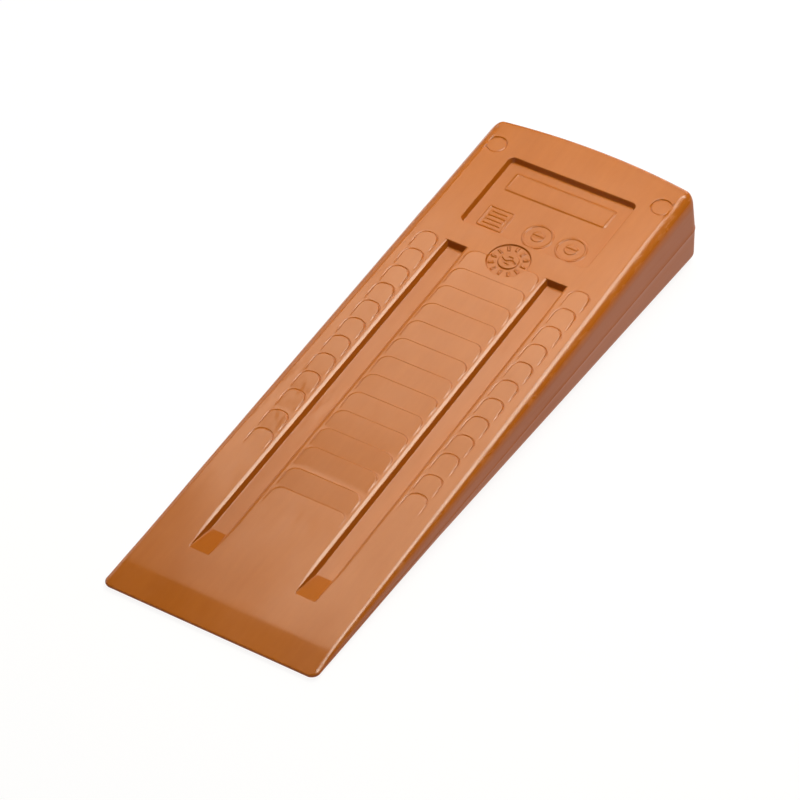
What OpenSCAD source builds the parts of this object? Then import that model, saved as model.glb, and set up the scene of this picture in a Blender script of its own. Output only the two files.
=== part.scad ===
// Felling wedge: a solid, injection-moulded plastic wedge driven into a saw cut.
// One piece. +Z is up, +X is across, +Y runs from the tip to the butt (the struck end).
// The wedge lies on its lower face at z = 0. The origin is under the middle of the
// bounding box. Lengths in mm.

/* [Body] */
// Length from the tip to the middle of the butt
body_len = 231; // [226:1:260]
// Width across the parting line
body_w = 78; // [70:1:90]
// Thickness at the butt
butt_h = 28.5; // [26:0.5:34]
// Thickness of the blunt tip edge
tip_t = 0.8; // [0.4:0.1:1.2]
// Length of the steeper bevel behind the tip edge
bevel_len = 11.6; // [8:0.1:16]
// Thickness where the bevel meets the long faces
bevel_h = 3.2; // [2.8:0.1:5]
// Draft of each side away from the parting line, degrees
side_draft = 2.5; // [1:0.5:4]
// Radius along the four long edges
edge_r = 3.5; // [2:0.25:4]
// Plan radius of the two tip corners
tip_corner_r = 3; // [2:0.5:8]
// Radius of the crowned butt, seen from above
butt_r = 240; // [180:5:400]
// Plan radius of the two butt corners
butt_corner_r = 5; // [3:0.5:7]
// Chamfer round the butt's upper and lower edges
butt_chamfer = 1.5; // [0.5:0.25:2.5]

/* [Grooves] */
// Distance from the middle of the wedge to each groove's centre
groove_x = 19.1; // [17.5:0.1:20.5]
// Width of a groove where its steep walls begin
groove_w = 7.3; // [6.8:0.1:7.8]
// Width of a groove's floor
groove_floor_w = 6.2; // [5:0.1:6.6]
// Depth of a groove
groove_depth = 2.2; // [1.5:0.1:3]
// Width of the eased lip beside each steep wall
lip_w = 1.8; // [1:0.1:2.2]
// Depth of the eased lip
lip_depth = 0.4; // [0.3:0.05:0.8]
// Distance from the tip to the front end of the grooves
groove_front = 25; // [20:1:30]
// Length of the ramp at the front end of each groove
ramp_len = 10.7; // [6:0.1:14]

/* [Grip scales] */
// Distance from the tip to the rearmost scale edge, which is also the grooves' square end
scale_rear = 172.6; // [170:0.1:174]
// Spacing of the scales along the wedge
scale_pitch = 8.65; // [8:0.05:9]
// Height of each scale's rear edge above the face
scale_h = 0.45; // [0.2:0.05:0.7]
// Number of wide scales between the grooves
centre_count = 14; // [8:1:14]
// Number of narrow scales outside each groove
side_count = 12; // [6:1:12]
// Width of the wide scales
centre_w = 27; // [20:0.5:27]
// Width of the narrow scales
side_w = 7.2; // [5:0.1:7.2]
// Distance from the middle of the wedge to the narrow scales
side_x = 28.5; // [28.3:0.1:29.4]
// Corner radius at the rear of the wide scales
centre_r = 3.5; // [2:0.25:4]
// Corner radius at the rear of the narrow scales
side_r = 3.2; // [2:0.1:3.4]

/* [Marking panel and mould marks] */
// Distance from the tip to the front of the sunk panel
panel_front = 182; // [181.5:0.5:184]
// Length of the sunk panel along the wedge
panel_len = 32.5; // [26:0.5:34]
// Width of the sunk panel
panel_w = 48; // [36:1:52]
// Depth of the sunk panel
panel_depth = 1.8; // [1:0.1:2.5]
// Corner radius of the sunk panel
panel_r = 2; // [1:0.25:4]
// Height of the plain raised shapes on the panel floor
relief_h = 0.3; // [0.2:0.05:0.5]
// Distance from the tip to the centre of the mould dial
dial_y = 173.7; // [173:0.1:174]
// Radius of the mould dial
dial_r = 7.2; // [5:0.1:7.4]
// Depth of the mould dial's ring
dial_depth = 0.5; // [0.3:0.05:0.8]
// Distance from the tip to the two ejector pin marks
ejector_y = 217; // [214:0.5:218]
// Distance from the middle of the wedge to each ejector pin mark
ejector_x = 31.3; // [30:0.1:32]
// Radius of an ejector pin mark
ejector_r = 3.4; // [2:0.1:3.8]
// Depth of an ejector pin mark
ejector_depth = 0.25; // [0.1:0.05:0.4]

/* [Hidden] */
$fn = 64;
half_angle = atan((butt_h - bevel_h) / 2 / (body_len - bevel_len));
// height of the long face's plane above the middle plane, carried forward to the tip
face_z0 = bevel_h / 2 - bevel_len * tan(half_angle);
half_w = body_w / 2;
side_top_in = butt_h / 2 * tan(side_draft);
// centre of a butt corner: inside the side by its radius and tangent to the crowned butt
corner_x = half_w - butt_corner_r;
corner_reach = sqrt(pow(butt_r - butt_corner_r, 2) - pow(corner_x, 2));
corner_y = body_len - butt_r + corner_reach;
butt_turn = atan(corner_x / corner_reach);
scale_dip = 0.03;
edge_ease = 0.02;
ring_r = 5.3;
ring_w = 0.7;
// height of the middle plane's tip above the lower face once the wedge lies flat
tip_lift = face_z0 * cos(half_angle);
// how far back the butt's rearmost point lies once the wedge lies flat
rear_reach = body_len * cos(half_angle)
    + (butt_h / 2 - butt_chamfer) * sin(half_angle);
front_reach = -tip_t / 2 * sin(half_angle);
centre_y = (rear_reach + front_reach) / 2;

// outline seen square to the middle plane, tip at y = 0
module plan_outline() {
    translate([-half_w, tip_corner_r])
        square([body_w, corner_y - tip_corner_r]);
    translate([-half_w + tip_corner_r, 0])
        square([body_w - 2 * tip_corner_r, tip_corner_r + 1]);
    for (side = [-1, 1]) {
        translate([side * (half_w - tip_corner_r), tip_corner_r])
            circle(tip_corner_r);
        translate([side * corner_x, corner_y])
            circle(butt_corner_r);
    }
    intersection() {
        translate([0, body_len - butt_r])
            circle(butt_r, $fn = 720);
        translate([0, body_len - butt_r])
            polygon([
                [0, 0],
                [-2 * butt_r * sin(butt_turn), 2 * butt_r * cos(butt_turn)],
                [2 * butt_r * sin(butt_turn), 2 * butt_r * cos(butt_turn)]
            ]);
        translate([-half_w, corner_y - 1])
            square([body_w, 2 * butt_r]);
    }
}

// taper seen from the side: bevel, long faces, blunt tip
module side_prism() {
    rotate([90, 0, 90])
        linear_extrude(body_w + 2, center = true)
            polygon([
                [0, -tip_t / 2], [bevel_len, -bevel_h / 2],
                [body_len, -butt_h / 2], [body_len, butt_h / 2],
                [bevel_len, bevel_h / 2], [0, tip_t / 2]
            ]);
}

// sides seen from the tip: drafted both ways from the parting line
module draft_prism() {
    translate([0, body_len + 1, 0])
        rotate([90, 0, 0])
            linear_extrude(body_len + 2)
                polygon([
                    [-half_w, 0], [-half_w + side_top_in, -butt_h / 2],
                    [half_w - side_top_in, -butt_h / 2], [half_w, 0],
                    [half_w - side_top_in, butt_h / 2], [-half_w + side_top_in, butt_h / 2]
                ]);
}

// places children on the upper long face: y from the tip along it, z out of it
module on_face() {
    translate([0, 0, face_z0])
        rotate([half_angle, 0, 0])
            children();
}

// what a long edge's rounding takes away on the +X side, following the drafted side
module edge_cut() {
    lean = asin(sin(side_draft) * cos(half_angle));
    // the arc meets each plane a few degrees short of tangent
    centre = [edge_ease - edge_r * tan(45 - lean / 2), edge_ease - edge_r];
    translate([half_w - face_z0 * tan(side_draft), 0, 0])
        rotate([90, 0, atan(tan(side_draft) * sin(half_angle))])
            translate([0, 0, -body_len - 5])
                linear_extrude(body_len + 10)
                    difference() {
                        polygon([
                            centre, [centre[0], edge_r], [3 * edge_r, edge_r],
                            centre + 4 * edge_r * [cos(lean), sin(lean)]
                        ]);
                        translate(centre)
                            circle(edge_r);
                    }
}

// chamfer of the butt's upper edge, following its crown
module butt_cut() {
    translate([0, body_len - butt_r, butt_h / 2])
        rotate_extrude($fn = 720)
            polygon([
                [butt_r - butt_chamfer, 0], [butt_r + 1, -butt_chamfer - 1],
                [butt_r + 1, 1], [butt_r - butt_chamfer - 1, 1]
            ]);
}

// section along a groove: floor, ramp up to the face at the front, square rear end
module groove_run(depth, front) {
    rise = (groove_front + ramp_len - front) / depth;
    rotate([90, 0, 90])
        linear_extrude(4 * groove_w, center = true)
            polygon([
                [front - rise, 1], [groove_front + ramp_len, -depth],
                [scale_rear, -depth], [scale_rear, 1]
            ]);
}

module groove_profile(points) {
    translate([0, scale_rear + 5, 0])
        rotate([90, 0, 0])
            linear_extrude(scale_rear)
                polygon(points);
}

module groove_cut() {
    wall_run = (groove_w - groove_floor_w) / 2 / (groove_depth - lip_depth);
    intersection() {
        groove_profile([
            [-groove_floor_w / 2 + wall_run, -groove_depth - 1],
            [groove_floor_w / 2 - wall_run, -groove_depth - 1],
            [groove_w / 2, -lip_depth], [groove_w / 2, 2],
            [-groove_w / 2, 2], [-groove_w / 2, -lip_depth]
        ]);
        groove_run(groove_depth, groove_front);
    }
    lip_out = groove_w / 2 + lip_w;
    lip_run = lip_w / lip_depth;
    intersection() {
        groove_profile([
            [-lip_out + lip_w, -lip_depth], [lip_out - lip_w, -lip_depth],
            [lip_out + lip_run, 1], [-lip_out - lip_run, 1]
        ]);
        groove_run(lip_depth - 0.01, groove_front + 1);
    }
}

// one column of scales: a saw-tooth that rises towards the butt, with rounded rear corners
module scale_column(count, width, radius) {
    front = scale_rear - count * scale_pitch;
    teeth = [
        for (i = [0:count - 1], rear = [0, 1])
            [front + (i + rear) * scale_pitch, rear == 1 ? scale_h : -scale_dip]
    ];
    intersection() {
        rotate([90, 0, 90])
            linear_extrude(width + 2, center = true)
                polygon(concat([[front, -0.4]], teeth, [[scale_rear, -0.4]]));
        translate([0, 0, -1])
            linear_extrude(2)
                for (i = [1:count])
                    translate([0, front + i * scale_pitch])
                        scale_outline(width, radius);
    }
}

module scale_outline(width, radius) {
    translate([-width / 2, -scale_pitch])
        square([width, scale_pitch - radius]);
    translate([-width / 2 + radius, -scale_pitch])
        square([width - 2 * radius, scale_pitch]);
    for (side = [-1, 1])
        translate([side * (width / 2 - radius), -radius])
            circle(radius);
}

module panel_outline() {
    translate([-panel_w / 2, panel_r])
        square([panel_w, panel_len - 2 * panel_r]);
    translate([-panel_w / 2 + panel_r, 0])
        square([panel_w - 2 * panel_r, panel_len]);
    for (side = [-1, 1], end = [panel_r, panel_len - panel_r])
        translate([side * (panel_w / 2 - panel_r), end])
            circle(panel_r);
}

// sunk panel; plain raised shapes stand on its floor
module panel_cut() {
    translate([0, panel_front, -panel_depth])
        difference() {
            linear_extrude(panel_depth + 1)
                panel_outline();
            translate([0, 0, -1])
                linear_extrude(relief_h + 1)
                    panel_relief();
        }
}

// a blank bar, a small blank square and two blank rings
module panel_relief() {
    translate([-panel_w * 0.4, panel_len * 0.6])
        square([panel_w * 0.8, panel_len * 0.27]);
    translate([-panel_w * 0.4, panel_len * 0.07])
        square(panel_len * 0.3);
    for (x = [0.04, 0.3])
        translate([x * panel_w, panel_len * 0.2]) {
            difference() {
                circle(ring_r);
                circle(ring_r - ring_w);
            }
            circle(ring_r / 3);
        }
}

// mould dial: a sunk ring with twelve raised ticks and a raised disc with a pointer slot
module dial_cut() {
    disc_r = dial_r * 0.48;
    translate([0, dial_y, -dial_depth])
        difference() {
            cylinder(r = dial_r, h = dial_depth + 1);
            translate([0, 0, -1])
                cylinder(r = disc_r, h = dial_depth + 0.9);
            for (hour = [0:11])
                rotate(hour * 30)
                    translate([dial_r * 0.66, -0.35, -1])
                        cube([dial_r * 0.22, 0.7, dial_depth + 0.9]);
        }
    translate([-disc_r * 0.8, dial_y - 0.4, -dial_depth])
        cube([disc_r * 1.6, 0.8, 2]);
}

// the wedge above its parting line with its long edge rounded on both sides
module rounded_half() {
    difference() {
        intersection() {
            side_prism();
            draft_prism();
            linear_extrude(2 * butt_h)
                plan_outline();
        }
        for (side = [0, 1])
            mirror([side, 0, 0])
                on_face()
                    edge_cut();
    }
}

// both halves meet at the parting line; the butt's edges are chamfered last
module plain_wedge() {
    for (half = [0, 1])
        mirror([0, 0, half])
            difference() {
                rounded_half();
                butt_cut();
            }
}

module wedge_body() {
    color([0.82, 0.40, 0.10])
        translate([0, -centre_y, tip_lift])
            rotate([half_angle, 0, 0])
                difference() {
                    union() {
                        plain_wedge();
                        on_face() {
                            scale_column(centre_count, centre_w, centre_r);
                            for (side = [-1, 1])
                                translate([side * side_x, 0, 0])
                                    scale_column(side_count, side_w, side_r);
                        }
                    }
                    for (half = [0, 1], side = [-1, 1])
                        mirror([0, 0, half])
                            on_face()
                                translate([side * groove_x, 0, 0])
                                    groove_cut();
                    on_face() {
                        panel_cut();
                        dial_cut();
                        for (side = [-1, 1])
                            translate([side * ejector_x, ejector_y, -ejector_depth])
                                cylinder(r = ejector_r, h = 2);
                    }
                }
}

wedge_body();
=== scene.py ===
import math

import bpy
import numpy as np
from mathutils import Matrix, Vector
from mathutils.geometry import delaunay_2d_cdt


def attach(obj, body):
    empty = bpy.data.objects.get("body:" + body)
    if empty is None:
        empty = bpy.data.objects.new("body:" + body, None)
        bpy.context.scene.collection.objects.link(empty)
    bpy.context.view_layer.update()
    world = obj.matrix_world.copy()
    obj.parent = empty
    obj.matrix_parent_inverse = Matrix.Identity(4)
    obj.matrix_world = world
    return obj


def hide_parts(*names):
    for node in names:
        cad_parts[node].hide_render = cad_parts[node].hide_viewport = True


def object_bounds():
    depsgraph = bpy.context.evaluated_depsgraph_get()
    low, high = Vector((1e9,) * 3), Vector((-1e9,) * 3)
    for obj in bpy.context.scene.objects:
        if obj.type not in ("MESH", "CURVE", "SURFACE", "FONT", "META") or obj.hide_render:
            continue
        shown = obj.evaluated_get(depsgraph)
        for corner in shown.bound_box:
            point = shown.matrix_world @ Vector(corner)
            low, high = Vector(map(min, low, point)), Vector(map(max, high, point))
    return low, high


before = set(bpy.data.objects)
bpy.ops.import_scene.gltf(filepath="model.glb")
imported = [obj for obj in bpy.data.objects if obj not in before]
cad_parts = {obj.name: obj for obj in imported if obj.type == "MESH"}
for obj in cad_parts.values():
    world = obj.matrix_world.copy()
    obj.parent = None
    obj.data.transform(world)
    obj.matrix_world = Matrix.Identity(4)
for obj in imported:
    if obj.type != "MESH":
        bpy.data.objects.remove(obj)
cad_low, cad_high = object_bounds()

# The wedge is one moulding, so one mesh stands for the CAD body. It is worked out in
# millimetres in the middle plane's frame: x across, y back from the tip, z up from the
# parting line. to_row() lays it on its lower face in the row's frame, in metres.

MM = 0.001

# ---- the wedge's main sizes, in mm -------------------------------------------------
BODY_W = (cad_high.x - cad_low.x) / MM
BODY_LEN = 231.0
BUTT_H = 28.5
TIP_T = 0.8
BEVEL_LEN = 11.6
BEVEL_H = 3.2
SIDE_DRAFT = math.radians(2.5)
EDGE_R_TOP = (1.7, 5.0)  # at the tip and at the butt
EDGE_R_UNDER = (4.8, 3.8)
EDGE_IN_MAX = 4.4  # the rounding reaches at most this far in
BUTT_EDGE_R = 2.0
TIP_CORNER_R = 3.0
TIP_BLUNT = 0.9  # how far use has pushed the tip edge back
BUTT_CROWN_R = 240.0
BUTT_CORNER_R = 5.0
TIP_EDGE_IN, TIP_EDGE_UP = 0.45, 0.32  # the tip edge's small rounding
PARTING_STEP = 0.12  # the moulding line stands this far proud of the sides
PARTING_HALF = 0.3  # half the moulding line's width

HALF_W = BODY_W / 2
SLOPE = (BUTT_H - BEVEL_H) / 2 / (BODY_LEN - BEVEL_LEN)
HALF_ANGLE = math.atan(SLOPE)
FACE_Z0 = BEVEL_H / 2 - BEVEL_LEN * SLOPE  # a long face's plane, carried forward to the tip
BEVEL_DROP = (FACE_Z0 - TIP_T / 2) / BEVEL_LEN
TIP_LIFT = FACE_Z0 * math.cos(HALF_ANGLE)  # lays the lower face on the floor
# puts the origin under the middle of the wedge's length
CENTRE_Y = (cad_high.y - cad_low.y) / 2 / MM - TIP_T / 2 * math.sin(HALF_ANGLE)

# ---- grooves -----------------------------------------------------------------------
GROOVE_X = 19.1
GROOVE_LEAN, GROOVE_MID = 0.0045, 95.0  # the grooves draw together toward the butt
GROOVE_HALF = 3.65
GROOVE_FLOOR_HALF = 3.1
GROOVE_DEPTH = 2.2
LIP_W = 1.35
LIP_DEPTH = 0.46
LIP_SHARP = (0.2, 0.86)  # share of each lip's fall that is close to its edge, -X and +X side
GROOVE_FRONT = 25.2
RAMP_LEN = 10.9
END_WALL_RUN = 0.75

# ---- grip scales -------------------------------------------------------------------
SCALE_REAR = 172.6
SCALE_PITCH = 8.65
SCALE_H = 0.45
SCALE_EASE, SIDE_EASE = 0.25, 0.2
SIDE_RISE = 0.8  # the narrow scales' height, as a share of the wide ones'
LINE_DEPTH, LINE_HALF = 0.16, 0.12  # the fine line cut round each narrow scale
FRONT_FADE = (0.25, 0.7, 0.9)  # heights of the scales nearest the tip
LEFT_LIFT = 0.2  # the front scales on the left stand this share taller
FRONT_STEP = 1.1  # the two scales nearest the tip lie this much farther forward
CENTRE_COUNT, CENTRE_W, CENTRE_R = 14, 27.0, 3.5
SIDE_COUNT, SIDE_W, SIDE_R, SIDE_X = 12, 7.2, 3.2, 28.5

# ---- marking panel and mould marks ---------------------------------------------------
PANEL_FRONT, PANEL_LEN, PANEL_W, PANEL_R = 182.0, 32.5, 48.0, 2.0
PANEL_DEPTH, PANEL_WALL_RUN = 1.8, 0.62
RELIEF_H = 0.22
BAR_PITCH = 1.8  # spacing of the bars in the barred square
RING_R, RING_W = 5.3, 0.7
RING_CORE = 0.42  # radius of a ring's inner disc, as a share of the ring's
DIAL_Y, DIAL_R, DIAL_DEPTH = 173.7, 7.2, 0.5
DIAL_CORE = 0.48  # radius of the dial's disc, as a share of the dial's
DIAL_CORE_DEPTH = 0.08
DIAL_TICKS, TICK_H = 12, 0.34
POINTER_DEPTH = 0.3
EJECTOR_X, EJECTOR_Y, EJECTOR_R, EJECTOR_DEPTH = 31.3, 217.0, 3.4, 0.22
EJECTOR_LINE_HALF = 0.2

# ---- uneven shrinkage -----------------------------------------------------------------
DIAL_SINK = 0.05  # the hollows on both sides of the dial
FACE_SINK = 0.10  # the long hollow down the middle of a face
WAVE = 0.012  # a slight waviness over every long face
MARGIN_RISE = 0.02  # how steeply the top's left margin rises, per mm across

# ---- how finely the mesh follows the shape ----------------------------------------------
EDGE = 0.12  # how far every moulded corner is eased
EASING = ((-1, 0.25), (0, 0.5), (1, 0.25))  # steps of EDGE and their weights
MAX_CALM = math.tan(math.radians(4.5))  # steeper spots take no loose points
SLOPE_GAP = 0.02  # the step that slopes are measured over
TURN_COUNT = 12  # rows of points round each long edge
SIDE_POINTS = 150  # points along each side
# lines of points run at these distances from each feature's outline
LIP_SHARES = (1.2, 1.06, 0.95, 0.8, 0.6, 0.4, 0.2)
WALL_TOP_LINES = (0.24, 0.12, 0.0, -0.12)
WALL_FOOT_LINES = (0.12, 0.0, -0.12, -0.24)
END_LINES = (0.24, 0.12, 0.0, -0.12, -0.24)
RAMP_LINES = (0.5, 0.25, 0.0, -0.25, -0.5)
SCALE_LINES = (-0.62, -0.5, -0.38, -0.26, -0.14, -0.02, 0.1, 0.22, 0.34, 0.5)
PANEL_LINES = (0.3, 0.19, 0.1, 0.02, -0.06, -0.14, -0.22, -0.3, -0.38, -0.46, -0.56, -0.68, -0.8, -0.95)
RING_LINES = (-0.36, -0.24, -0.12, 0.0, 0.12, 0.24, 0.36)
MARK_LINES = (-0.38, -0.26, -0.13, 0.0, 0.13, 0.26, 0.38)
DIAL_LINES = (-0.34, -0.24, -0.14, -0.05, 0.05, 0.14, 0.24, 0.34)
EJECTOR_LINES = (-0.62, -0.48, -0.36, -0.24, -0.12, 0.0, 0.12, 0.24, 0.36, 0.48, 0.62)


# ---- small shape functions -----------------------------------------------------------
def clamp01(t):
    return np.clip(t, 0.0, 1.0)


def smooth(t):
    t = clamp01(t)
    return t * t * (3 - 2 * t)


def inside(distance, ease):
    """1 inside an outline, 0 outside, easing over twice `ease`."""
    return 1 - smooth((distance + ease) / (2 * ease))


def box_distance(x, y, half_x, half_y, radius):
    """Distance from a rounded rectangle's outline, negative inside."""
    qx, qy = abs(x) - half_x + radius, abs(y) - half_y + radius
    outer = np.hypot(np.maximum(qx, 0), np.maximum(qy, 0))
    return outer + np.minimum(np.maximum(qx, qy), 0) - radius


def tongue_distance(x, y, half_x, radius):
    """Distance from a strip that runs forward from y = 0, its rear corners rounded."""
    qx, qy = abs(x) - half_x + radius, y + radius
    outer = np.hypot(np.maximum(qx, 0), np.maximum(qy, 0))
    return outer + np.minimum(np.maximum(qx, qy), 0) - radius


# ---- surface features, as heights above the plain long face ---------------------------
def bevel(y):
    """Fall of the bevel in front of its soft crease."""
    t = BEVEL_LEN - y
    return -BEVEL_DROP * (np.sqrt(t * t + 0.5) + t) / 2


def groove_floor(y):
    return -GROOVE_DEPTH * clamp01((y - GROOVE_FRONT) / RAMP_LEN)


def groove_centre(y):
    return GROOVE_X + GROOVE_LEAN * (GROOVE_MID - y)


def lip_share(y):
    """How far the eased lip has grown: it dies out over the ramp and at the square end."""
    front = clamp01((y - GROOVE_FRONT) / (RAMP_LEN * 1.4))
    rear = 0.4 + 0.6 * smooth((SCALE_REAR - y) / 18)
    return front * rear


def groove_lines(y):
    """Half widths of the lip, the wall's top and the wall's foot at y."""
    share = lip_share(y)
    lip_fall = LIP_DEPTH * share
    fall = np.maximum(-groove_floor(y), lip_fall)
    foot_share = (fall - lip_fall) / (GROOVE_DEPTH - lip_fall + 1e-9)
    foot = GROOVE_HALF - (GROOVE_HALF - GROOVE_FLOOR_HALF) * foot_share
    return GROOVE_HALF + LIP_W * np.sqrt(share), foot


def grooves(x, y):
    """Both grooves: eased lips, steep walls, a ramp in front and a square end behind."""
    across = (abs(x) - groove_centre(y)) * np.where(x < 0, -1.0, 1.0)
    u = abs(across)
    share = lip_share(y)
    lip_out = GROOVE_HALF + LIP_W * np.sqrt(share)
    lip_fall = LIP_DEPTH * share
    lip_t = clamp01((lip_out - u) / (lip_out - GROOVE_HALF + 1e-9))
    eased = np.where(lip_t < 0.2, lip_t**2 / 0.4, lip_t - 0.1) / 0.9
    sharp = np.where(across > 0, LIP_SHARP[1], LIP_SHARP[0])
    lip = -lip_fall * ((1 - sharp) * eased + sharp * lip_t**9)
    wall_t = clamp01((GROOVE_HALF - u) / (GROOVE_HALF - GROOVE_FLOOR_HALF))
    z = np.where(u > GROOVE_HALF, lip, -lip_fall - (GROOVE_DEPTH - lip_fall) * wall_t)
    end = -GROOVE_DEPTH * clamp01((SCALE_REAR - y) / END_WALL_RUN)
    return np.maximum(z, np.maximum(groove_floor(y), end))


def scale_edges(count):
    """Rear edge and height of every scale in a column, from the rear forward."""
    edges = []
    for k in range(count):
        left = count - 1 - k
        fade = FRONT_FADE[left] if left < len(FRONT_FADE) else 1.0
        shift = FRONT_STEP if left < 2 else 0.0
        edges.append((SCALE_REAR - k * SCALE_PITCH - shift, SCALE_H * fade))
    return edges


def scale_columns():
    """Every column's centre, number of scales, half width and corner radius."""
    yield 0.0, CENTRE_COUNT, CENTRE_W / 2, CENTRE_R
    for side in (-1, 1):
        yield side * SIDE_X, SIDE_COUNT, SIDE_W / 2, SIDE_R


def scales(x, y):
    """Overlapping scales, each rising toward its rear edge."""
    z, line = np.zeros_like(x), np.zeros_like(x)
    for centre, count, half, radius in scale_columns():
        ease, gain = (SIDE_EASE, SIDE_RISE) if centre else (SCALE_EASE, 1.0)
        for rear, tall in scale_edges(count):
            rise = clamp01((y - rear + SCALE_PITCH) / SCALE_PITCH)
            outline = tongue_distance(x - centre, y - rear, half, radius)
            if centre < 0:
                tall = tall * (1 + LEFT_LIFT * clamp01((150 - rear) / 40))
            z = np.maximum(z, gain * tall * rise * inside(outline + ease / 2, ease))
            if centre:
                cut = LINE_DEPTH * smooth(rise * 1.6) * inside(abs(outline - 0.1) - LINE_HALF, 0.1)
                line = np.maximum(line, cut)
    return z - line


def panel_distance(x, y):
    centre = PANEL_FRONT + PANEL_LEN / 2
    return box_distance(x, y - centre, PANEL_W / 2, PANEL_LEN / 2, PANEL_R)


def relief_shapes():
    """Blank raised shapes on the panel floor: (kind, x, y, half x or radius, half y)."""
    bar_y = PANEL_FRONT + PANEL_LEN * 0.735
    yield "box", 0.0, bar_y, PANEL_W * 0.4, PANEL_LEN * 0.135
    small = PANEL_LEN * 0.15
    yield "frame", -PANEL_W * 0.3, PANEL_FRONT + PANEL_LEN * 0.22, small, small
    for share in (0.04, 0.3):
        yield "ring", share * PANEL_W, PANEL_FRONT + PANEL_LEN * 0.2, RING_R, 0.0


def blank_bar(dx, dy, half_x, half_y):
    d = box_distance(dx, dy, half_x, half_y, 1.0)
    rim = inside(abs(d + 0.7) - 0.3, 0.2)
    return np.maximum(rim, 0.6 * inside(d + 0.2, 0.2))


def barred_square(dx, dy, half_x, half_y):
    d = box_distance(dx, dy, half_x, half_y, 0.8)
    rim = inside(abs(d + 0.4) - 0.25, 0.12)
    bars = abs(dy % BAR_PITCH - BAR_PITCH / 2) - 0.3
    return np.maximum(rim, inside(np.maximum(bars, d + 1.6), 0.12))


def split_disc(dx, dy, radius):
    """A ring round a disc that a slot cuts in two."""
    r = np.hypot(dx, dy)
    ring = inside(abs(r - radius + RING_W / 2) - RING_W / 2, 0.12)
    disc = np.maximum(r - radius * RING_CORE, -abs(dy) + 0.35)
    return np.maximum(ring, inside(disc, 0.12))


def relief(x, y):
    z = np.zeros_like(x)
    for kind, cx, cy, a, b in relief_shapes():
        dx, dy = x - cx, y - cy
        if kind == "box":
            mark = blank_bar(dx, dy, a, b)
        elif kind == "frame":
            mark = barred_square(dx, dy, a, b)
        else:
            mark = split_disc(dx, dy, a)
        z = np.maximum(z, RELIEF_H * mark)
    return z


def dial_ticks(r, turn):
    """Ticks round the dial, each a little different and split by a notch."""
    step = math.tau / DIAL_TICKS
    across = r * np.sin((turn + step / 2) % step - step / 2)
    hour = np.floor((turn + step / 2) / step)
    reach = DIAL_R * (0.77 + 0.03 * np.sin(hour * 2.4))
    tick = np.maximum(abs(across) - 0.42, abs(r - reach) - 0.95)
    notch = np.maximum(abs(across) - 0.1, abs(r - reach - 0.25 * np.cos(hour * 1.7)) - 0.5)
    return inside(tick, 0.12) * (1 - 0.7 * inside(notch, 0.1))


def dial_pointer(dx, dy):
    """A bent slot across the dial's disc, with a short slot on each side."""
    bend = dy - 0.45 * np.sin(dx * 1.5)
    slot = np.maximum(abs(bend) - 0.22, abs(dx) - DIAL_R * DIAL_CORE * 0.8)
    for side in (-1, 1):
        mark = np.maximum(abs(dy - side * 1.55) - 0.2, abs(dx) - 0.85)
        slot = np.minimum(slot, mark)
    return inside(slot, 0.12)


def dial(x, y, z):
    """Sinks the mould dial into z, with its ticks, disc and pointer."""
    dy = y - DIAL_Y
    r = np.hypot(x, dy)
    sunk = inside(r - DIAL_R, 0.12)
    off_disc = 1 - inside(r - DIAL_R * DIAL_CORE, 0.14)
    disc = -DIAL_CORE_DEPTH - (DIAL_DEPTH - DIAL_CORE_DEPTH) * off_disc
    floor = -DIAL_DEPTH + TICK_H * dial_ticks(r, np.arctan2(dy, x))
    floor = np.maximum(floor, disc) - POINTER_DEPTH * dial_pointer(x, dy)
    return z * (1 - sunk) + floor * sunk


def ejectors(x, y):
    r = np.hypot(abs(x) - EJECTOR_X, y - EJECTOR_Y)
    line = inside(abs(r - EJECTOR_R) - EJECTOR_LINE_HALF, 0.15)
    return -EJECTOR_DEPTH * (inside(r - EJECTOR_R, 0.1) + line)


def sink_marks(x, y):
    """Shrinkage: broad shallow hollows where the moulding is thick."""
    z = -DIAL_SINK * np.exp(-(((y - 176.5) / 5) ** 2) - ((abs(x) - 16) / 7) ** 2)
    z = z - FACE_SINK * np.exp(-((x / 34) ** 2)) * smooth((y - 20) / 150)
    wave = np.sin(x / 6.1 + 1.3 * np.sin(y / 23)) * np.sin(y / 17 + 0.8 * np.sin(x / 11))
    return z + WAVE * (wave - 1)


def margin_rise(x, y):
    """The top's left margin, which shrank less and lies slightly proud."""
    outer = np.maximum(-x - 24.0, 0)
    along = smooth((y - 30) / 30) * smooth((214 - y) / 40)
    return MARGIN_RISE * outer**2 / (outer + 2.5) * along


def features(x, y, top):
    z = grooves(x, y)
    if top:
        sunk = clamp01(-panel_distance(x, y) / PANEL_WALL_RUN)
        z = z + scales(x, y) - PANEL_DEPTH * sunk + relief(x, y) * sunk
        z = dial(x, y, z) + ejectors(x, y) + margin_rise(x, y)
    return z


def height(x, y, top):
    """Height of a long face above the parting plane. Every corner is eased by averaging."""
    s = y / math.cos(HALF_ANGLE)
    total = np.zeros_like(x)
    for i, share_i in EASING:
        for j, share_j in EASING:
            total += share_i * share_j * features(x + i * EDGE, s + j * EDGE, top)
    return FACE_Z0 + y * SLOPE + bevel(y) + total + sink_marks(x, s)


# ---- plan outline ----------------------------------------------------------------------
def arc(cx, cy, radius, start, end, count):
    for i in range(count):
        a = start + (end - start) * i / count
        yield cx + radius * math.cos(a), cy + radius * math.sin(a), math.cos(a), math.sin(a)


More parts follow.
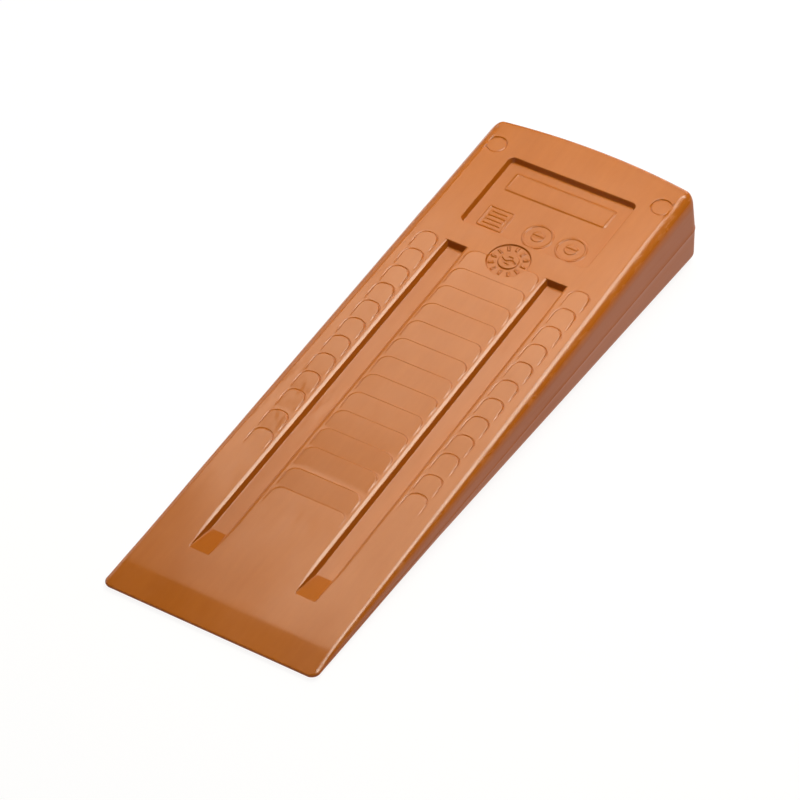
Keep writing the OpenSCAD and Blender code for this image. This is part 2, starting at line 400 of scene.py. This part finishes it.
def plan_outline():
    """Stations round the parting line, with outward normals: x, y, nx, ny, butt share."""
    corner_x = HALF_W - BUTT_CORNER_R
    reach = math.sqrt((BUTT_CROWN_R - BUTT_CORNER_R) ** 2 - corner_x**2)
    corner_y = BODY_LEN - BUTT_CROWN_R + reach
    lean = math.atan2(reach, corner_x)
    tip_x, tip_y = HALF_W - TIP_CORNER_R, TIP_CORNER_R + TIP_BLUNT

    def side_y(t):
        return tip_y + (corner_y - tip_y) * (0.55 * t * t + 0.45 * t)

    out = []
    for i in range(SIDE_POINTS):
        out.append((HALF_W, side_y(i / SIDE_POINTS), 1.0, 0.0, 0.0))
    for i, p in enumerate(arc(corner_x, corner_y, BUTT_CORNER_R, 0.0, lean, 18)):
        out.append((*p, float(smooth(i / 18))))
    crown_y = BODY_LEN - BUTT_CROWN_R
    for p in arc(0.0, crown_y, BUTT_CROWN_R, lean, math.pi - lean, 60):
        out.append((*p, 1.0))
    for i, p in enumerate(arc(-corner_x, corner_y, BUTT_CORNER_R, math.pi - lean, math.pi, 18)):
        out.append((*p, float(smooth(1 - i / 18))))
    for i in range(SIDE_POINTS):
        out.append((-HALF_W, side_y(1 - i / SIDE_POINTS), -1.0, 0.0, 0.0))
    for p in arc(-tip_x, tip_y, TIP_CORNER_R, math.pi, 1.5 * math.pi, 12):
        out.append((*p, 0.0))
    for i in range(60):
        out.append((-tip_x + 2 * tip_x * i / 60, TIP_BLUNT, 0.0, -1.0, 0.0))
    for p in arc(tip_x, tip_y, TIP_CORNER_R, 1.5 * math.pi, 2 * math.pi, 12):
        out.append((*p, 0.0))
    return np.array(out)


def perimeter_rows(outline, top):
    """Rows of points from the long face's edge, round its rounding, to the parting line."""
    x, y, nx, ny, butt = outline.T
    edge_z = FACE_Z0 + y * SLOPE + bevel(y)
    r_tip, r_butt = EDGE_R_TOP if top else EDGE_R_UNDER
    edge_r = r_tip + (r_butt - r_tip) * clamp01(y / BODY_LEN)
    radius_up = np.minimum(edge_r, 0.9 * edge_z) * (1 - butt) + BUTT_EDGE_R * butt
    edge_in = np.minimum(np.minimum(edge_r, EDGE_IN_MAX), edge_z + 0.9)
    radius_in = edge_in * (1 - butt) + BUTT_EDGE_R * butt
    tip_share = clamp01(-ny) * (1 - butt)
    radius_in = radius_in * (1 - tip_share) + TIP_EDGE_IN * tip_share
    radius_up = radius_up * (1 - tip_share) + TIP_EDGE_UP * tip_share
    rows = []
    turns = np.linspace(0.0, math.pi / 2, TURN_COUNT)
    step = np.minimum(PARTING_STEP, 0.12 * edge_z)
    lean = math.tan(SIDE_DRAFT)
    foot_z = np.maximum(edge_z - radius_up, 0.02)
    for a in turns:
        inset = radius_in * (1 - math.sin(a)) + step + foot_z * lean
        px, py = x - nx * inset, y - ny * inset
        pz = height(px, py, top) - radius_up * (1 - math.cos(a))
        rows.append((px, py, pz))
    last_z = rows[-1][2]
    ridge = np.minimum(PARTING_HALF, 0.3 * last_z)
    for share in (0.75, 0.5, 0.25, 0.0):
        pz = ridge + (last_z - ridge) * share
        inset = step + pz * lean
        rows.append((x - nx * inset, y - ny * inset, pz))
    for share_z, share_in in ((0.75, 0.85), (0.45, 0.3), (0.0, 0.0)):
        inset = step * share_in
        rows.append((x - nx * inset, y - ny * inset, ridge * share_z))
    return rows


# ---- feature-following lines for the long faces ------------------------------------------
def spaced(a, b, gap):
    count = max(1, int(math.ceil(abs(b - a) / gap)))
    return np.linspace(a, b, count + 1)


def rounded_box_path(cx, cy, half_x, half_y, radius, offset, gap):
    """A rounded rectangle grown by offset, as a closed path."""
    hx, hy, r = half_x + offset, half_y + offset, max(radius + offset, 0.05)
    points = []
    for sx, sy, start in ((1, 1, 0.0), (-1, 1, 0.5), (-1, -1, 1.0), (1, -1, 1.5)):
        steps = max(4, int(r * math.pi / 2 / 0.35))
        for i in range(steps + 1):
            a = math.pi * (start + 0.5 * i / steps)
            points.append((cx + sx * (hx - r) + r * math.cos(a), cy + sy * (hy - r) + r * math.sin(a)))
    return densify(points + points[:1], gap)


def tongue_path(cx, rear, half, radius, length, offset, gap):
    """The side and rear edges of one scale grown by offset, as an open path."""
    h, r = half + offset, max(radius + offset, 0.05)
    points = [(cx + h, rear - length)]
    for sx, start in ((1, 0.0), (-1, 0.5)):
        steps = 9
        for i in range(steps + 1):
            a = math.pi * (start + 0.5 * i / steps)
            points.append((cx + sx * (h - r) + r * math.cos(a), rear + offset - r + r * math.sin(a)))
    points.append((cx - h, rear - length))
    return densify(points, gap)


def circle_path(cx, cy, radius, count):
    return [
        (cx + radius * math.cos(math.tau * i / count), cy + radius * math.sin(math.tau * i / count))
        for i in range(count + 1)
    ]


def densify(points, gap):
    out = [points[0]]
    for a, b in zip(points, points[1:]):
        steps = max(1, int(math.hypot(b[0] - a[0], b[1] - a[1]) / gap))
        for i in range(1, steps + 1):
            t = i / steps
            out.append((a[0] + (b[0] - a[0]) * t, a[1] + (b[1] - a[1]) * t))
    return out


def groove_paths():
    """Lines along the lips, walls and floors, and across both ends."""
    lengthwise = np.concatenate([
        spaced(GROOVE_FRONT, GROOVE_FRONT + RAMP_LEN * 1.5, 0.7),
        spaced(GROOVE_FRONT + RAMP_LEN * 1.5 + 1.5, SCALE_REAR - 20, 1.8),
        spaced(SCALE_REAR - 19, SCALE_REAR - 0.5, 1.2),
    ])
    lip_out, foot = groove_lines(lengthwise)
    for side in (-1, 1):
        for flank in (-1, 1):
            offsets = []
            for t in LIP_SHARES:
                offsets.append(GROOVE_HALF + (lip_out - GROOVE_HALF) * t)
            for d in WALL_TOP_LINES:
                offsets.append(np.full_like(foot, GROOVE_HALF + d))
            for d in WALL_FOOT_LINES:
                offsets.append(foot + d)
            for u in offsets:
                yield list(zip(side * groove_centre(lengthwise) + flank * u, lengthwise))
        half = GROOVE_HALF + LIP_W * 0.66
        for y in END_LINES:
            for line, w in ((SCALE_REAR + y, half), (SCALE_REAR - END_WALL_RUN + y, GROOVE_HALF)):
                yield [(side * groove_centre(line) + u, line) for u in spaced(-w, w, 0.5)]
        for y in RAMP_LINES:
            for line in (GROOVE_FRONT + y, GROOVE_FRONT + RAMP_LEN + y):
                across = spaced(-GROOVE_HALF, GROOVE_HALF, 0.6)
                yield [(side * groove_centre(line) + u, line) for u in across]


def top_paths():
    """Lines round the scales, the panel and its marks, the dial and the ejector marks."""
    for centre, count, half, radius in scale_columns():
        for rear, _ in scale_edges(count):
            for offset in SCALE_LINES:
                yield tongue_path(centre, rear, half, radius, SCALE_PITCH - 0.4, offset, 1.4)
    cy = PANEL_FRONT + PANEL_LEN / 2
    for offset in PANEL_LINES:
        yield rounded_box_path(0.0, cy, PANEL_W / 2, PANEL_LEN / 2, PANEL_R, offset, 1.2)
    for kind, cx, y, a, b in relief_shapes():
        if kind == "ring":
            for r in (a, a - RING_W, a * RING_CORE):
                for offset in RING_LINES:
                    yield circle_path(cx, y, r + offset, 60)
        else:
            inner = (0.0, -0.65, -1.6) if kind == "frame" else (-0.2, -0.5, -1.0)
            for base in inner:
                for offset in MARK_LINES:
                    yield rounded_box_path(cx, y, a, b, 0.9, base + offset, 1.0)
    for r in (DIAL_R, DIAL_R * DIAL_CORE):
        for offset in DIAL_LINES:
            yield circle_path(0.0, DIAL_Y, r + offset, 90)
    for side in (-1, 1):
        for offset in EJECTOR_LINES:
            yield circle_path(side * EJECTOR_X, EJECTOR_Y, EJECTOR_R + offset, 60)


def coarse_points():
    """Loose points between the feature lines."""
    for y in spaced(3.0, BODY_LEN - 3.0, 2.4):
        for x in spaced(-HALF_W + 3, HALF_W - 3, 2.4):
            yield x, y
    for y in (-1.6, -1.1, -0.6, 0.0, 0.6, 1.1, 1.6):
        for x in spaced(-HALF_W + 2.6, HALF_W - 2.6, 1.5):
            yield x, BEVEL_LEN + y


def disc_grid(cx, cy, radius, gap):
    for y in spaced(cy - radius, cy + radius, gap):
        for x in spaced(cx - radius, cx + radius, gap):
            if math.hypot(x - cx, y - cy) < radius:
                yield x, y


def fine_points():
    """Closer points inside the small marks on the top face."""
    yield from disc_grid(0.0, DIAL_Y, DIAL_R - 0.3, 0.2)
    for kind, cx, cy, a, b in relief_shapes():
        if kind == "ring":
            yield from disc_grid(cx, cy, a * RING_CORE + 0.3, 0.22)
        elif kind == "frame":
            for y in spaced(cy - b + 1.3, cy + b - 1.3, 0.22):
                for x in spaced(cx - a + 1.3, cx + a - 1.3, 0.22):
                    yield x, y


def face_slopes(x, y, top):
    gap = SLOPE_GAP
    slope_x = (height(x + gap, y, top) - height(x - gap, y, top)) / (2 * gap)
    slope_y = (height(x, y + gap, top) - height(x, y - gap, top)) / (2 * gap)
    return slope_x, slope_y


def face_normals(x, y, top):
    """Exact normals of a long face, in the row's frame."""
    slope_x, slope_y = face_slopes(x, y, top)
    normal = np.column_stack([-slope_x, -slope_y, np.ones_like(x)])
    normal /= np.linalg.norm(normal, axis=1)[:, None]
    if not top:
        normal[:, 2] *= -1
    c, s = math.cos(HALF_ANGLE), math.sin(HALF_ANGLE)
    return normal @ np.array([[1, 0, 0], [0, c, s], [0, -s, c]])


def in_polygon(px, py, poly):
    """Which points lie inside a closed outline."""
    odd = np.zeros(len(px), bool)
    x0, y0 = poly[-1]
    for x1, y1 in poly:
        crosses = (y0 > py) != (y1 > py)
        if y1 != y0:
            odd ^= crosses & (px < (x1 - x0) * (py - y0) / (y1 - y0) + x0)
        x0, y0 = x1, y1
    return odd


def face_patch(border, top):
    """Triangulates one long face inside its border, following every feature line."""
    cos_a = math.cos(HALF_ANGLE)
    verts = [(float(a), float(b)) for a, b in border]
    n = len(verts)
    edges = [(i, (i + 1) % n) for i in range(n)]
    paths = list(groove_paths()) + (list(top_paths()) if top else [])
    for path in paths:
        start = len(verts)
        verts += [(float(a), float(b) * cos_a) for a, b in path]
        edges += [(i, i + 1) for i in range(start, len(verts) - 1)]
    loose = np.array([(a, b * cos_a) for a, b in coarse_points()])
    slope_x, slope_y = face_slopes(loose[:, 0], loose[:, 1], top)
    loose = loose[np.hypot(slope_x, slope_y - SLOPE) < MAX_CALM]
    if top:
        fine = np.array([(a, b * cos_a) for a, b in fine_points()])
        loose = np.concatenate([loose, fine])
    ring = np.array(border)
    keep = in_polygon(loose[:, 0], loose[:, 1], ring)
    for dx, dy in ((1.2, 0), (-1.2, 0), (0, 1.2), (0, -1.2)):
        keep &= in_polygon(loose[:, 0] + dx, loose[:, 1] + dy, ring)
    verts += [tuple(map(float, p)) for p in loose[keep]]
    made = delaunay_2d_cdt([Vector(v) for v in verts], edges, [], 0, 0.004, True)
    points, _, faces, origin = made[:4]
    pts = np.array([(p.x, p.y) for p in points])
    tris = np.array([f[:] for f in faces])
    mid = pts[tris].mean(axis=1)
    tris = tris[in_polygon(mid[:, 0], mid[:, 1], ring)]
    border_at = {}
    for i, group in enumerate(origin):
        for g in group:
            if g < n:
                border_at[g] = i
    return pts, tris, border_at


def to_row(px, py, pz):
    """From the middle plane's frame to the row's, in metres."""
    c, s = math.cos(HALF_ANGLE), math.sin(HALF_ANGLE)
    return np.column_stack([px, c * py - s * pz - CENTRE_Y, s * py + c * pz + TIP_LIFT]) * MM


class Shell:
    """The wedge's points and faces, with each point's share of flank and of rim."""

    def __init__(self):
        self.verts, self.faces = [], []
        self.flank, self.rim = [], []
        self.exact_normals = []
        self.parting = None

    def add(self, points, flank_share=0.0, rim_share=0.0):
        start = len(self.verts)
        self.verts.extend(map(tuple, points))
        self.flank.extend([flank_share] * len(points))
        self.rim.extend([rim_share] * len(points))
        return start

    def add_face(self, face, top):
        self.faces.append(face if top else face[::-1])

    def add_long_face(self, border, top):
        """Adds one long face and returns the points of its border."""
        pts, tris, border_at = face_patch(border, top)
        lift = height(pts[:, 0], pts[:, 1], top)
        start = self.add(to_row(pts[:, 0], pts[:, 1], lift if top else -lift))
        self.exact_normals.append((start, face_normals(pts[:, 0], pts[:, 1], top)))
        for a, b, c in tris:
            self.add_face((start + a, start + b, start + c), top)
        return [start + border_at[i] for i in range(len(border))]

    def add_side_rows(self, rows, previous, top):
        """Joins the long face's border to the parting line, row by row."""
        n = len(previous)
        for index, (px, py, pz) in enumerate(rows, 1):
            last = index == len(rows)
            if last and self.parting is not None:
                current = self.parting
            else:
                turn = min(index / (TURN_COUNT - 1), 1.0)
                shares = float(smooth(turn * 2 - 0.8)), math.sin(math.pi * turn)
                base = self.add(to_row(px, py, pz if top else -pz), *shares)
                current = [base + i for i in range(n)]
            for i in range(n):
                j = (i + 1) % n
                self.add_face((previous[i], current[i], current[j], previous[j]), top)
            previous = current
        self.parting = previous

    def make_mesh(self, name):
        mesh = bpy.data.meshes.new(name)
        mesh.from_pydata(self.verts, [], self.faces)
        mesh.update()
        mesh.shade_smooth()
        normals = np.empty(len(self.verts) * 3)
        mesh.vertex_normals.foreach_get("vector", normals)
        normals = normals.reshape(-1, 3)
        for start, exact in self.exact_normals:
            normals[start:start + len(exact)] = exact
        mesh.normals_split_custom_set_from_vertices(normals)
        for label, values in (("flank", self.flank), ("rim", self.rim)):
            mesh.attributes.new(label, "FLOAT", "POINT").data.foreach_set("value", values)
        return mesh


def build_wedge():
    """Upper half, then lower half, which share the points of the parting line."""
    outline = plan_outline()
    shell = Shell()
    for top in (True, False):
        rows = perimeter_rows(outline, top)
        border = shell.add_long_face(list(zip(rows[0][0], rows[0][1])), top)
        shell.add_side_rows(rows[1:], border, top)
    return shell.make_mesh("wedge_shell")


# ---- material ----------------------------------------------------------------------------
PLASTIC_DEEP = (0.475, 0.127, 0.007, 1)
PLASTIC_PALE = (0.525, 0.146, 0.010, 1)
PLASTIC_WORN = (0.60, 0.215, 0.050, 1)
FLANK_PAINTED_SHADE = (0.86, 0.73, 0.84, 1)  # painted shade: darkens and reddens the flanks to stand in for the dimmer light they get
GLOSS = 0.19
FLANK_DULL, WORN_DULL = 0.35, 0.3  # roughness that the flanks' skin and the scuffs add
MOTTLE_DEPTH, WAVINESS_DEPTH, SKIN_DEPTH = 0.00013, 0.000025, 0.0000035  # bump, in metres
MOTTLE_CENTRE = (-0.030, -0.026, 0.012)  # the scales that shrank unevenly, in metres
MOTTLE_REACH = 0.022


class Graph:
    """Short hands for wiring one material's nodes."""

    def __init__(self, material):
        material.use_nodes = True
        self.tree = material.node_tree
        self.shader = self.tree.nodes["Principled BSDF"]
        self.place = self.tree.nodes.new("ShaderNodeTexCoord").outputs["Object"]

    def link(self, value, socket):
        if isinstance(value, bpy.types.NodeSocket):
            self.tree.links.new(value, socket)
        else:
            socket.default_value = value

    def noise(self, per_metre, stretch=(1, 1, 1), detail=3.0):
        mapping = self.tree.nodes.new("ShaderNodeMapping")
        mapping.inputs["Scale"].default_value = stretch
        self.link(self.place, mapping.inputs["Vector"])
        node = self.tree.nodes.new("ShaderNodeTexNoise")
        node.inputs["Scale"].default_value = per_metre
        node.inputs["Detail"].default_value = detail
        self.link(mapping.outputs["Vector"], node.inputs["Vector"])
        return node.outputs[0]

    def remap(self, value, low, high, out_low, out_high):
        node = self.tree.nodes.new("ShaderNodeMapRange")
        for name, level in (
            ("Value", value), ("From Min", low), ("From Max", high),
            ("To Min", out_low), ("To Max", out_high),
        ):
            self.link(level, node.inputs[name])
        return node.outputs["Result"]

    def math(self, kind, a, b):
        node = self.tree.nodes.new("ShaderNodeMath")
        node.operation = kind
        self.link(a, node.inputs[0])
        self.link(b, node.inputs[1])
        return node.outputs[0]

    def product(self, a, b):
        node = self.tree.nodes.new("ShaderNodeVectorMath")
        node.operation = "MULTIPLY"
        self.link(a, node.inputs[0])
        self.link(b, node.inputs[1])
        return node.outputs[0]

    def distance(self, point):
        node = self.tree.nodes.new("ShaderNodeVectorMath")
        node.operation = "DISTANCE"
        self.link(self.place, node.inputs[0])
        self.link(point, node.inputs[1])
        return node.outputs["Value"]

    def mix(self, share, a, b):
        node = self.tree.nodes.new("ShaderNodeMix")
        node.data_type = "RGBA"
        self.link(share, node.inputs[0])
        self.link(a, node.inputs[6])
        self.link(b, node.inputs[7])
        return node.outputs[2]

    def mask(self, name):
        node = self.tree.nodes.new("ShaderNodeAttribute")
        node.attribute_name = name
        return node.outputs["Fac"]

    def bump(self, height, depth, below=None):
        node = self.tree.nodes.new("ShaderNodeBump")
        node.inputs["Strength"].default_value = 1.0
        node.inputs["Distance"].default_value = depth
        self.link(height, node.inputs["Height"])
        if below is not None:
            self.link(below, node.inputs["Normal"])
        return node.outputs["Normal"]


def plastic_colour(graph, worn):
    """Orange with flow streaks along the wedge, paler where scuffed, with painted shade darkening and
    reddening the flanks.
    """
    broad = graph.noise(16.0)
    flow = graph.noise(70.0, (1.0, 0.1, 1.0))
    grain = graph.noise(620.0, (1.0, 0.12, 1.0))
    tone = graph.math("ADD", graph.math("MULTIPLY", broad, 0.5), graph.math("MULTIPLY", flow, 0.5))
    tone = graph.math("ADD", tone, graph.math("MULTIPLY", grain, 0.3))
    colour = graph.mix(graph.remap(tone, 0.5, 0.8, 0.0, 1.0), PLASTIC_DEEP, PLASTIC_PALE)
    colour = graph.mix(worn, colour, PLASTIC_WORN)
    # painted shade: the flank mask darkens and reddens the colour on the sides
    return graph.product(colour, graph.mix(graph.mask("flank"), (1, 1, 1, 1), FLANK_PAINTED_SHADE))


def plastic_gloss(graph, worn):
    """Roughness: handled patches, hair scratches along the wedge, dull flanks and scuffs."""
    handled = graph.remap(graph.noise(38.0, (1.0, 0.5, 1.0), 4.0), 0.35, 0.65, -0.025, 0.025)
    hairs = graph.remap(graph.noise(900.0, (1.0, 0.03, 1.0), 2.0), 0.55, 0.75, 0.0, 0.05)
    gloss = graph.math("ADD", graph.math("ADD", handled, hairs), GLOSS)
    gloss = graph.math("ADD", gloss, graph.math("MULTIPLY", graph.mask("flank"), FLANK_DULL))
    return graph.math("ADD", gloss, graph.math("MULTIPLY", worn, WORN_DULL))


def plastic_skin(graph):
    """Normals: one unevenly shrunk patch, slight waviness all over, and the moulded skin."""
    near = graph.remap(graph.distance(MOTTLE_CENTRE), 0.008, MOTTLE_REACH, 1.0, 0.0)
    uneven = graph.math("MULTIPLY", near, graph.noise(330.0, (1.0, 0.4, 1.0), 1.0))
    normal = graph.bump(uneven, MOTTLE_DEPTH)
    normal = graph.bump(graph.noise(110.0, (1.0, 0.6, 1.0), 1.0), WAVINESS_DEPTH, normal)
    return graph.bump(graph.noise(2600.0, detail=2.0), SKIN_DEPTH, normal)


def wedge_plastic():
    """Injection-moulded orange plastic."""
    mat = bpy.data.materials.new("wedge_plastic")
    graph = Graph(mat)
    scuffs = graph.noise(420.0, (1.0, 0.35, 1.0), 5.0)
    worn = graph.math("MULTIPLY", graph.mask("rim"), graph.remap(scuffs, 0.5, 0.72, 0.0, 0.55))
    inputs = graph.shader.inputs
    graph.link(plastic_colour(graph, worn), inputs["Base Color"])
    graph.link(plastic_gloss(graph, worn), inputs["Roughness"])
    graph.link(plastic_skin(graph), inputs["Normal"])
    inputs["IOR"].default_value = 1.53
    return mat


# ---- stage ---------------------------------------------------------------------------------
FLOOR_REACH, FLOOR_GAP = 6.0, 0.0002
FLOOR_GREY, FLOOR_GLOW = 0.13, 0.9  # glows nearly white, so shadows on it stay faint


def add_floor():
    a, b = -FLOOR_REACH, FLOOR_REACH
    mesh = bpy.data.meshes.new("floor")
    mesh.from_pydata([(a, a, 0), (b, a, 0), (b, b, 0), (a, b, 0)], [], [(0, 1, 2, 3)])
    floor = bpy.data.objects.new("floor", mesh)
    bpy.context.scene.collection.objects.link(floor)
    floor.location.z = cad_low.z - FLOOR_GAP
    mat = bpy.data.materials.new("floor_white")
    mat.use_nodes = True
    shader = mat.node_tree.nodes["Principled BSDF"]
    shader.inputs["Base Color"].default_value = (FLOOR_GREY, FLOOR_GREY, FLOOR_GREY, 1)
    shader.inputs["Roughness"].default_value = 0.9
    shader.inputs["Specular IOR Level"].default_value = 0.0
    shader.inputs["Emission Color"].default_value = (1, 1, 1, 1)
    shader.inputs["Emission Strength"].default_value = FLOOR_GLOW
    mesh.materials.append(mat)


def add_softbox(name, shape, centre, aim, size, radiance, tint):
    """A soft light whose face has the given radiance."""
    data = bpy.data.lights.new(name, "AREA")
    data.shape = shape
    data.size, data.size_y = size
    area = size[0] * size[1] * (math.pi / 4 if shape == "ELLIPSE" else 1)
    data.energy = radiance * math.pi * area
    data.color = tint
    lamp = bpy.data.objects.new(name, data)
    bpy.context.scene.collection.objects.link(lamp)
    lamp.location = centre
    lamp.rotation_mode = "QUATERNION"
    toward = Vector(aim) - Vector(centre)
    lamp.rotation_quaternion = toward.to_track_quat("-Z", "Y")
    return lamp


def add_world(strength):
    world = bpy.data.worlds.new("studio")
    world.use_nodes = True
    background = world.node_tree.nodes["Background"]
    background.inputs["Color"].default_value = (1, 1, 1, 1)
    background.inputs["Strength"].default_value = strength
    bpy.context.scene.world = world


WORLD_STRENGTH = 0.06
# name, shape, centre, point it faces, width and height, radiance (1 = the floor's white), tint
SOFTBOXES = (
    ("softbox_over", "RECTANGLE", (0.06, 0.21, 0.55), (0, 0, 0), (0.4, 0.3), 6.9, (1.0, 0.96, 0.84)),
    ("softbox_left", "RECTANGLE", (-1.9, 0.5, 1.1), (0, 0, 0), (1.6, 1.4), 1.2, (1.0, 1.0, 1.0)),
    ("softbox_back", "RECTANGLE", (-0.2, 1.9, 1.0), (0, 0, 0), (1.4, 1.0), 2.2, (1.0, 1.0, 1.0)),
)
# two warmer lights that show in the gloss, facing straight down:
# name, centre, width and height, radiance, tint
OCTABOXES = (
    ("octabox_sheen", (-0.57, 0.655), (0.27, 0.475), 5.3, (1.0, 0.79, 0.6)),
    ("octabox_edge", (0.2, 0.52), (0.38, 0.44), 4.6, (1.0, 0.83, 0.6)),
)
OCTABOX_HEIGHT = 1.2

CAMERA_AZIMUTH, CAMERA_ELEVATION, CAMERA_ROLL = 34.17, 42.19, -1.94  # degrees
CAMERA_DISTANCE = 1.41235
CAMERA_LENS = 203.8
CAMERA_AIM = Vector((1.61, -9.95, 14.0)) * MM


def add_camera():
    data = bpy.data.cameras.new("camera")
    data.lens = CAMERA_LENS
    camera = bpy.data.objects.new("camera", data)
    bpy.context.scene.collection.objects.link(camera)
    a, e = math.radians(CAMERA_AZIMUTH), math.radians(CAMERA_ELEVATION)
    back = Vector((math.sin(a) * math.cos(e), -math.cos(a) * math.cos(e), math.sin(e)))
    camera.location = CAMERA_AIM + back * CAMERA_DISTANCE
    camera.rotation_mode = "QUATERNION"
    level = (-back).to_track_quat("-Z", "Y")
    roll = Matrix.Rotation(math.radians(CAMERA_ROLL), 3, "Z").to_quaternion()
    camera.rotation_quaternion = level @ roll
    data.clip_start, data.clip_end = 0.05, 50.0
    bpy.context.scene.camera = camera


# ---- build -----------------------------------------------------------------------------------
mesh = build_wedge()
mesh.materials.append(wedge_plastic())
wedge = bpy.data.objects.new("wedge_shell", mesh)
bpy.context.scene.collection.objects.link(wedge)
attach(wedge, "root")
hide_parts("wedge_body")

add_floor()
add_world(WORLD_STRENGTH)
for box in SOFTBOXES:
    add_softbox(*box)
for name, (x, y), size, radiance, tint in OCTABOXES:
    add_softbox(name, "ELLIPSE", (x, y, OCTABOX_HEIGHT), (x, y, 0.0), size, radiance, tint)
add_camera()
bpy.context.scene.view_settings.view_transform = "Standard"
